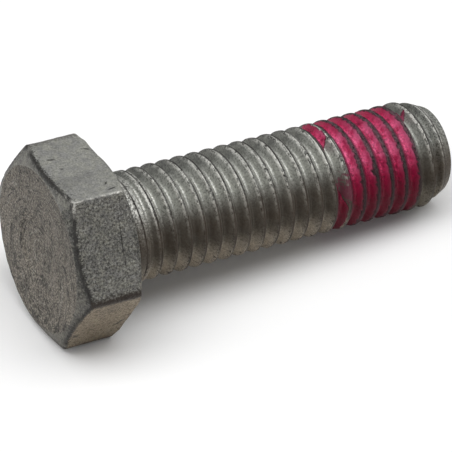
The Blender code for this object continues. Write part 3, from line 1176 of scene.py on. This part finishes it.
        rough = add(tree, RANGE, worn, 0.0, 1.0, self.roughness, 0.32)
        metal = add(tree, RANGE, worn, 0.0, 1.0, self.metallic, 0.55)
        bumps = add(tree, "ShaderNodeBump", grainy, 0.00036, None, relief, out="Normal")
        strokes = add(tree, "ShaderNodeBump", on_face, 0.00040, None, arcs, bumps, out="Normal")
        pits = add(tree, "ShaderNodeBump", 0.6, 0.00009, None, patches, strokes, out="Normal")
        shader = add(
            tree,
            "ShaderNodeBsdfPrincipled",
            named={"Base Color": scratches_and_painted_light, "Metallic": metal, "Roughness": rough, "Normal": pits},
        )
        add(tree, "ShaderNodeOutputMaterial", shader)
        return made


@dataclass(frozen=True)
class PaintedShade:
    """Painted shade on the shank's lower sides, darkest along two lines.

    Attributes:
        lines: Turn of each line in degrees, with the cosines between which the shade comes up.
        most: How far the shade hides what it lies on.
    """

    lines: tuple[tuple[float, float, float], ...] = ((77.0, 0.81, 1.0), (-112.0, 0.70, 0.97))
    most: float = 0.80

    def shaded(self, tree: bpy.types.NodeTree, spot: bpy.types.NodeSocket) -> bpy.types.NodeSocket:
        """Adds how much painted shade lies at a place.

        Args:
            tree: The material's tree.
            spot: The place, in millimetres along the screw.

        Returns:
            The shade, from 0 to 1.
        """
        blotches = add(tree, NOISE, spot, 0.7, 4.0, 0.6, out="Fac")
        blotchy = add(tree, RANGE, blotches, 0.30, 0.60, self.most, self.most * 0.8)
        lobes = []
        for turn, least, full in self.lines:
            way = way_at(turn, SPOT_RADIUS)
            toward = add(tree, VECTOR, spot, way, operation="DOT_PRODUCT", out="Value")
            lobes.append(add(tree, RANGE, toward, least, full, 0.0, 1.0))
        either = add(tree, MATH, *lobes, operation="MAXIMUM")
        return add(tree, MATH, either, blotchy, operation="MULTIPLY")


@dataclass(frozen=True)
class ZincFlakeRolled:
    """Zinc flake coat on a cold-rolled thread: streaks that follow the helix, bright worn crests, and painted
    highlight, bounce light and shade.

    Attributes:
        base: Colour of the coat.
        pale: Colour where flakes lie thick.
        highlight_colour: Colour of the painted highlight on the upper front, where the light falls.
        painted_bounce: Colour of the painted bounce light on its underside.
        stain: Tint of the crests between the film's bands.
        stain_shade: Colour of those crests where painted shade lies on them.
        smear: Colour of film brushed on thin before its first band.
        dark: Colour in seams and pits, and of the painted shade just under the head.
        painted_shade: Colour of the painted shade on the lower sides.
        scuffed: Colour of worn lips, and of the painted highlight on lips and roots.
        metallic: How much of the light the flakes mirror.
        roughness: Of the coat.
    """

    base: str = "#636460"
    pale: str = "#757670"
    highlight_colour: str = "#a3a49e"
    painted_bounce: str = "#b6b2ab"
    stain: str = "#704658"
    stain_shade: str = "#38141d"
    smear: str = "#7a2848"
    dark: str = "#1f1c18"
    painted_shade: str = "#463a2e"
    scuffed: str = "#e4e3dc"
    metallic: float = 0.5
    roughness: float = 0.38

    def material(self) -> bpy.types.Material:
        """Builds the material.

        Returns:
            The material.
        """
        made, tree = blank_material("zinc_flake_rolled")
        spot, lay, skin = (
            add(tree, "ShaderNodeAttribute", attribute_name=name, out="Vector")
            for name in ("spot", "lay", "skin")
        )
        crest, level = (
            add(tree, "ShaderNodeAttribute", attribute_name=name, out="Fac") for name in ("crest", "level")
        )
        height = add(tree, "ShaderNodeSeparateXYZ", spot, out="Z")
        head_side = add(tree, "ShaderNodeSeparateXYZ", lay, out="Y")
        patches = add(tree, NOISE, skin, 0.9, 4.0, 0.6, out="Fac")
        # The real flakes are about 0.02 mm. They are drawn at 0.2 mm so that they show
        grain = add(tree, NOISE, skin, 4.6, 3.0, 0.75, out="Fac")
        # One turn of the helix is 37 mm, so 16 to the turn makes marks of about 2.3 mm along it
        stretched = add(tree, VECTOR, lay, (1.4, 1.4, 16.0), operation="MULTIPLY")
        marks = add(tree, NOISE, stretched, 1.0, 5.0, 0.75, out="Fac")

        thick = add(tree, RANGE, patches, 0.38, 0.62, 0.0, 1.0)
        # Painted highlight: a paler, glossier coat on the upper front, where the light falls, weaker near the
        # point
        highlight_way, bounce_way = way_at(24, SPOT_RADIUS), way_at(142, SPOT_RADIUS)
        toward = add(tree, VECTOR, spot, highlight_way, operation="DOT_PRODUCT", out="Value")
        highlight_fade = add(tree, RANGE, height, 35.4, 37.0, 1.0, 0.35)
        painted_highlight = add(tree, RANGE, toward, 0.76, 0.97, 0.0, highlight_fade, interpolation_type="SMOOTHSTEP")
        # Painted bounce light: the underside is paler, less so towards the point
        bounce_left = add(tree, RANGE, height, 24.0, 30.0, 0.95, 0.45)
        below = add(tree, VECTOR, spot, bounce_way, operation="DOT_PRODUCT", out="Value")
        painted_bounce = add(tree, RANGE, below, 0.62, 0.94, 0.0, bounce_left)
        by_root = add(tree, RANGE, crest, 0.50, 0.74, 0.0, 0.15)
        # Painted highlight on the roots where they face the light
        rolled = add(tree, MATH, by_root, painted_highlight, operation="MULTIPLY")
        # Painted shade just under the head
        shade = add(tree, RANGE, height, 0.9, 2.4, 0.75, 0.0)
        with_painted_light = linear(self.base)
        for mask, colour in (
            (thick, self.pale), (painted_highlight, self.highlight_colour), (painted_bounce, self.painted_bounce),
            (rolled, self.scuffed), (shade, self.dark),
        ):
            with_painted_light = add(tree, MIX, mask, with_painted_light, linear(colour), data_type="RGBA")
        grainy = add(tree, RANGE, grain, 0.30, 0.70, 0.45, 1.50)
        speckled = add(tree, VECTOR, with_painted_light, None, operation="SCALE", named={"Scale": grainy})
        # Painted shade on the lower sides
        painted_shade = PaintedShade().shaded(tree, spot)
        # Rolling tore the crests, so their lips are ragged at about 0.4 mm
        torn = add(tree, NOISE, skin, 2.0, 4.0, 0.75, out="Fac")
        # The brush left a thin smear of film before the first band
        smear_at = add(tree, VECTOR, spot, (1.7, 5.1, 27.2), operation="DISTANCE", out="Value")
        smear_edge = add(tree, MATH, torn, 7.0, smear_at, operation="MULTIPLY_ADD")
        smear = add(tree, RANGE, smear_edge, 4.6, 5.3, 0.7, 0.0)
        stain_in = add(tree, RANGE, height, 26.9, 27.3, 0.0, 0.95)
        stain_out = add(tree, RANGE, height, 35.2, 35.8, 1.0, 0.0)
        stain = add(tree, MATH, stain_in, stain_out, operation="MULTIPLY")

        # Pits: by the crests and roots near the head, in the painted shade, beside the film and on the point
        near_head = add(tree, RANGE, height, 6.0, 15.0, 1.0, 0.45)
        shade_and_stain = add(tree, MATH, painted_shade, stain, operation="MAXIMUM")
        where = add(tree, MATH, near_head, shade_and_stain, operation="MAXIMUM")
        pitted = add(tree, RANGE, grain, 0.38, 0.48, 0.9, 0.0)
        by_crest = add(tree, RANGE, crest, 0.20, 0.45, 1.0, 0.15)
        by_either = add(tree, MATH, by_crest, by_root, operation="MAXIMUM")
        pits = add(tree, MATH, by_either, where, operation="MULTIPLY")
        by_point = add(tree, RANGE, height, 37.0, 38.0, 0.0, 0.8)
        open_by = add(tree, MATH, pits, by_point, operation="MAXIMUM")
        small = add(tree, MATH, pitted, open_by, operation="MULTIPLY")
        torn_out = add(tree, RANGE, torn, 0.40, 0.45, 0.95, 0.0)
        torn_by = add(tree, RANGE, crest, 0.22, 0.34, 1.0, 0.0)
        large = add(tree, MATH, torn_out, torn_by, operation="MULTIPLY")
        worn = add(tree, MATH, small, large, operation="MAXIMUM")

        # The roller's two sides meet in a black seam along the crest, with a bright lip before it
        lip_in = add(tree, RANGE, crest, 0.09, 0.13, 0.0, 1.0)
        lip_side = add(tree, RANGE, head_side, 0.0, 0.15, 0.5, 1.0)
        lip_torn = add(tree, RANGE, torn, 0.48, 0.53, 0.0, 1.0)
        lip_long = add(tree, RANGE, marks, 0.51, 0.57, 0.0, 1.0)
        lip_broken = add(tree, MATH, lip_torn, lip_long, operation="MAXIMUM")
        lip = add(tree, MATH, torn_by, lip_in, operation="MULTIPLY")
        sided = add(tree, MATH, lip, lip_side, operation="MULTIPLY")
        broken = add(tree, MATH, sided, lip_broken, operation="MULTIPLY")
        # Where the groove runs out, rolling scuffed the level ground
        scuff = add(tree, RANGE, grain, 0.46, 0.58, 0.0, 0.6)
        ground = add(tree, MATH, level, scuff, operation="MULTIPLY")
        fleck_on = add(tree, RANGE, crest, 0.16, 0.28, 1.0, 0.0)
        fleck_broken = add(tree, RANGE, torn, 0.52, 0.56, 0.0, 1.0)
        fleck = add(tree, MATH, fleck_on, fleck_broken, operation="MULTIPLY")
        flecks = add(tree, MATH, fleck, stain, operation="MULTIPLY")
        lips = add(tree, MATH, broken, flecks, operation="MAXIMUM")
        edges = add(tree, MATH, lips, ground, operation="MAXIMUM")
        # Painted highlight: the worn lips and level ground are bright only on the upper front, where the light
        # falls
        lit_side = add(tree, RANGE, toward, 0.55, 0.95, 0.0, 1.0)
        wear_and_highlight = add(tree, MATH, edges, lit_side, operation="MULTIPLY")
        in_seam = add(tree, RANGE, crest, 0.07, 0.13, 1.0, 0.0)
        seam_open = add(tree, RANGE, marks, 0.40, 0.52, 0.20, 0.97)
        filled = add(tree, RANGE, stain, 0.0, 1.0, seam_open, 0.0)
        seam = add(tree, MATH, in_seam, filled, operation="MULTIPLY")
        smears_and_painted_light = speckled
        for mask, colour in (
            (worn, self.dark), (wear_and_highlight, self.scuffed), (seam, self.dark),
            (painted_shade, self.painted_shade), (smear, self.smear),
        ):
            smears_and_painted_light = add(tree, MIX, mask, smears_and_painted_light, linear(colour), data_type="RGBA")

        # Between the film's bands the crests kept a thin purple stain, painted darker maroon on the lower
        # sides as shade
        tinted = add(
            tree, MIX, stain, smears_and_painted_light, linear(self.stain), data_type="RGBA", blend_type="MULTIPLY"
        )
        film_shade = DriedLockingFilm.lower_shade.shaded(tree, spot)
        stain_shaded = add(tree, MATH, film_shade, stain, operation="MULTIPLY")
        stained_and_shaded = add(tree, MIX, stain_shaded, tinted, linear(self.stain_shade), data_type="RGBA")

        satin = add(tree, RANGE, painted_highlight, 0.0, 1.0, 0.6, self.roughness)
        rough = add(tree, RANGE, wear_and_highlight, 0.0, 1.0, satin, 0.26)
        shade_dulled = add(tree, RANGE, painted_shade, 0.0, 1.0, rough, 0.7)
        flaky = add(tree, RANGE, painted_highlight, 0.0, 1.0, 0.05, self.metallic)
        sheen = add(tree, RANGE, wear_and_highlight, 0.0, 1.0, flaky, 0.4)
        bare = add(tree, RANGE, painted_shade, 0.0, 1.0, sheen, 0.0)
        metal = add(tree, RANGE, seam, 0.0, 1.0, bare, 0.0)
        bumps = add(tree, "ShaderNodeBump", 0.7, 0.00003, None, grain, out="Normal")
        hollows = add(tree, "ShaderNodeBump", 0.35, 0.00006, None, patches, bumps, out="Normal")
        tears = add(tree, "ShaderNodeBump", torn_by, 0.00020, None, torn, hollows, out="Normal")
        shader = add(
            tree,
            "ShaderNodeBsdfPrincipled",
            named={"Base Color": stained_and_shaded, "Metallic": metal, "Roughness": shade_dulled, "Normal": tears},
        )
        add(tree, "ShaderNodeOutputMaterial", shader)
        return made


@dataclass(frozen=True)
class DriedLockingFilm:
    """Acrylic locking film, brushed on wet and dried: crimson, half gloss, thin and patchy at its edges.

    Attributes:
        full: Colour of the film.
        bright: Colour of the painted highlight on its upper front.
        deep: Colour where it is thin, and of the painted shade at the edges of each band.
        painted_shade: Colour of the painted shade on its lower sides.
        lower_shade: Where that painted shade lies.
        roughness: Of its skin.
        gloss: Strength of its skin's mirroring, 0.5 for plain acrylic.
    """

    full: str = "#bc1c53"
    bright: str = "#ee6a98"
    deep: str = "#451628"
    painted_shade: str = "#5a0f24"
    lower_shade: PaintedShade = PaintedShade(lines=((122.0, 0.42, 0.92), (-112.0, 0.70, 0.97)), most=0.84)
    roughness: float = 0.42
    gloss: float = 0.3

    def material(self) -> bpy.types.Material:
        """Builds the material.

        Returns:
            The material.
        """
        made, tree = blank_material("dried_locking_film")
        spot, skin = (
            add(tree, "ShaderNodeAttribute", attribute_name=name, out="Vector") for name in ("spot", "skin")
        )
        cover, across = (
            add(tree, "ShaderNodeAttribute", attribute_name=name, out="Fac") for name in ("cover", "across")
        )
        clouds = add(tree, NOISE, skin, 0.8, 4.0, 0.6, out="Fac")
        # Dried film is pebbled like orange peel, at about 0.25 mm
        peel = add(tree, NOISE, skin, 4.0, 3.0, 0.75, out="Fac")
        # Painted highlight: the film is paler on its upper front, where the light falls
        light_way = way_at(26, SPOT_RADIUS)
        toward = add(tree, VECTOR, spot, light_way, operation="DOT_PRODUCT", out="Value")
        highlight_by = add(tree, RANGE, toward, 0.72, 0.97, 0.0, 1.0)
        mottled = add(tree, RANGE, clouds, 0.40, 0.58, 0.15, 1.0)
        film_highlight = add(tree, MATH, highlight_by, mottled, operation="MULTIPLY")
        # It is thick on the flank that faces the head, and thin by the crest and on the far flank, where its
        # darker colour is also painted shade
        ragged = add(tree, MATH, peel, 0.36, across, operation="MULTIPLY_ADD")
        far_flank = add(tree, RANGE, ragged, 0.06, 0.26, 0.75, 0.0)
        by_crest = add(tree, RANGE, ragged, 0.36, 0.60, 0.0, 0.85)
        height = add(tree, "ShaderNodeSeparateXYZ", spot, out="Z")
        last_dab = add(tree, RANGE, height, 35.5, 35.8, 0.0, 0.72)
        by_edge = add(tree, MATH, far_flank, by_crest, operation="MAXIMUM")
        worn = add(tree, RANGE, clouds, 0.44, 0.34, 0.0, 0.45)
        weak = add(tree, MATH, by_edge, worn, operation="MAXIMUM")
        thinned = add(tree, MATH, weak, last_dab, operation="MAXIMUM")
        thin = add(tree, RANGE, cover, 0.45, 1.0, 0.92, thinned)
        body = add(tree, MIX, film_highlight, linear(self.full), linear(self.bright), data_type="RGBA")
        edged = add(tree, MIX, thin, body, linear(self.deep), data_type="RGBA")
        pebbled = add(tree, RANGE, peel, 0.30, 0.70, 0.50, 1.40)
        speckled = add(tree, VECTOR, edged, None, operation="SCALE", named={"Scale": pebbled})
        # Painted shade on its lower sides
        shade_dulled = self.lower_shade.shaded(tree, spot)
        toned = add(tree, MIX, shade_dulled, speckled, linear(self.painted_shade), data_type="RGBA")
        rough = add(tree, RANGE, peel, 0.3, 0.7, self.roughness - 0.06, self.roughness + 0.14)
        bumps = add(tree, "ShaderNodeBump", 0.9, 0.00006, None, peel, out="Normal")
        swells = add(tree, "ShaderNodeBump", 0.6, 0.00012, None, clouds, bumps, out="Normal")
        shader = add(
            tree,
            "ShaderNodeBsdfPrincipled",
            named={
                "Base Color": toned, "Roughness": rough, "Normal": swells, "Specular IOR Level": self.gloss,
            },
        )
        add(tree, "ShaderNodeOutputMaterial", shader)
        return made


@dataclass
class Studio:
    """Pale floor, soft lamps and the camera.

    Attributes:
        floor_half: Half the floor's side, in metres.
        floor_light: Grey of the floor where light bounces off it.
        camera_at: Where the camera stands.
        camera_turn: Its turn in degrees.
        lens: Its focal length in millimetres.
        aim: Height that the lamps look at, in metres.
        sky: Strength of the world's white light.
    """

    floor_half: float = 3.0
    floor_light: str = "#d6c8b4"
    camera_at: tuple[float, float, float] = (-0.1372749, -0.2524002, 0.2377899)
    camera_turn: tuple[float, float, float] = (50.8716, 0.271, -28.5296)
    lens: float = 276.172
    aim: float = 0.008
    sky: float = 0.25

    def shown(self, tree: bpy.types.NodeTree) -> bpy.types.NodeSocket:
        """Adds a socket that is 1 for what the camera sees, directly or in a gloss or glass."""
        camera = add(tree, "ShaderNodeLightPath", out="Is Camera Ray")
        rays = camera.node.outputs
        gloss = add(tree, MATH, camera, rays["Is Glossy Ray"], operation="MAXIMUM")
        return add(tree, MATH, gloss, rays["Is Transmission Ray"], operation="MAXIMUM")

    def floor(self) -> bpy.types.Object:
        """Lays the floor at Z = 0.

        Returns:
            The floor.
        """
        half = self.floor_half
        mesh = bpy.data.meshes.new("floor")
        corners = [(-half, -half, 0), (half, -half, 0), (half, half, 0), (-half, half, 0)]
        mesh.from_pydata(corners, [], [(0, 1, 2, 3)])
        made, tree = blank_material("studio_floor")
        colour = add(
            tree, MIX, self.shown(tree), linear(self.floor_light), (1.0, 1.0, 1.0, 1.0), data_type="RGBA"
        )
        matt = add(tree, "ShaderNodeBsdfDiffuse", colour, 1.0)
        add(tree, "ShaderNodeOutputMaterial", matt)
        mesh.materials.append(made)
        floor = bpy.data.objects.new("floor", mesh)
        bpy.context.scene.collection.objects.link(floor)
        return floor

    def lamp(self, name: str, at: Sequence[float], size: Sequence[float], power: float) -> None:
        """Hangs one soft box that looks at the screw.

        Args:
            name: Its name.
            at: Where it hangs, in metres.
            size: Its length along X and its width, in metres.
            power: Its power, in watts.
        """
        data = bpy.data.lights.new(name, "AREA")
        data.shape = "RECTANGLE"
        data.size, data.size_y = size
        data.energy = power
        lamp = bpy.data.objects.new(name, data)
        lamp.visible_camera = False
        lamp.location = at
        lamp.rotation_euler = (Vector((0, 0, self.aim)) - Vector(at)).to_track_quat("-Z", "Y").to_euler()
        bpy.context.scene.collection.objects.link(lamp)

    def lights(self) -> None:
        """Hangs a long soft box over the screw and a small one beyond its head, and sets the sky."""
        self.lamp("key", (-0.02, -0.06, 0.60), (1.3, 0.44), 4.6)
        self.lamp("side", (-0.64, 0.18, 0.20), (0.45, 0.25), 0.8)
        world = bpy.data.worlds.new("studio")
        world.use_nodes = True
        tree = world.node_tree
        tree.nodes.clear()
        sky = add(tree, "ShaderNodeBackground", (1.0, 1.0, 1.0, 1.0), self.sky)
        add(tree, "ShaderNodeOutputWorld", sky)
        bpy.context.scene.world = world

    def camera(self) -> None:
        """Sets up the camera at the photograph's viewing angle."""
        data = bpy.data.cameras.new("camera")
        data.lens = self.lens
        data.sensor_width = 36.0
        data.clip_start, data.clip_end = 0.01, 20.0
        camera = bpy.data.objects.new("camera", data)
        camera.location = self.camera_at
        camera.rotation_euler = Euler([math.radians(a) for a in self.camera_turn])
        bpy.context.scene.collection.objects.link(camera)
        bpy.context.scene.camera = camera

    def build(self) -> None:
        """Builds the studio."""
        self.camera()
        self.floor()
        self.lights()
        bpy.context.scene.view_settings.view_transform = "Standard"


def main() -> None:
    """Builds the studio and the screw's pieces in order."""
    logging.basicConfig(level=logging.INFO, format="%(name)s %(message)s")
    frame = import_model()
    axes = ScrewAxes.from_record(frame["record"])
    Studio().build()
    sizes = ThreadSizes()
    form = ThreadForm(sizes).group()
    ForgedHead().build(ZincFlakeForged().material(), axes)
    grid = HelicalGrid(columns=116, rows=32, first=-2.0, last=23.375)
    ThreadedShank(sizes, grid).build(form, ZincFlakeRolled().material(), axes)
    LockingFilm(sizes).build(form, DriedLockingFilm().material(), axes)


if __name__ == "__main__":
    main()
